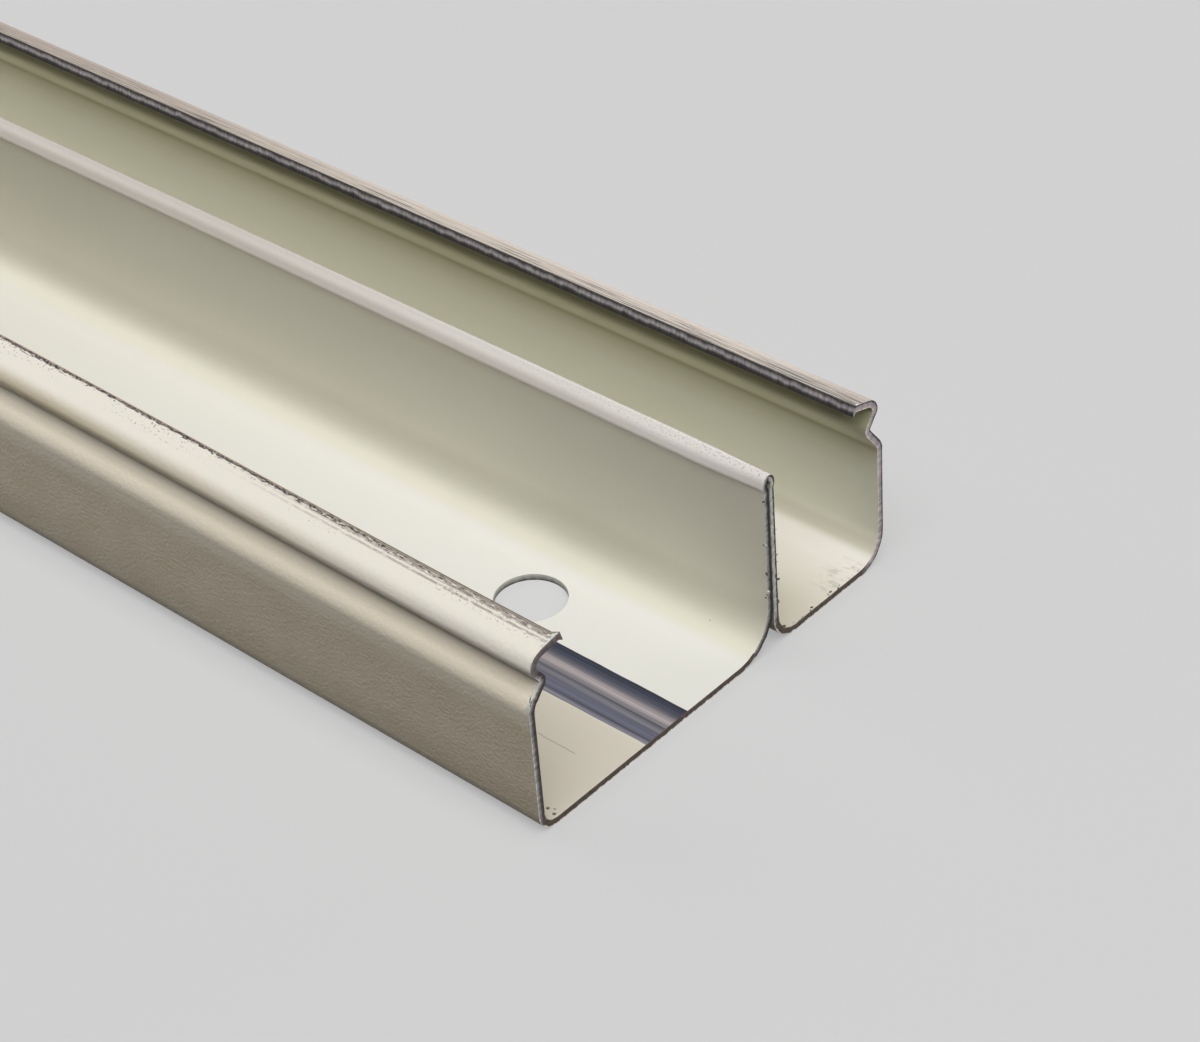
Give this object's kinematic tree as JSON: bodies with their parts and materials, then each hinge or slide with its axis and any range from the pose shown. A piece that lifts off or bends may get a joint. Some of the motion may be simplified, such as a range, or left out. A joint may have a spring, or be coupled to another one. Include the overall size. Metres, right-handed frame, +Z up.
{
  "type": "cable raceway base",
  "caption": "Ivory-painted steel channel, the base of a surface cable raceway, with a folded divider, grooved in-turned lips that take a clip-on cover, and screw holes in its floor.",
  "frame": {"origin": "on the mounting face, midway along the length and across the width", "axes": "+X along the length towards the pictured end, +Y from the wide compartment to the narrow one, +Z up from the mounting face to the open side"},
  "size_m": [1.524, 0.0476, 0.0198],
  "materials": {
    "ivory_paint": "satin ivory paint on steel, bare at the cut ends, worn at the lips, with one unpainted stripe along the wide floor"
  },
  "bodies": {
    "root": {"raceway_base": "ivory_paint"}
  },
  "joints": []
}
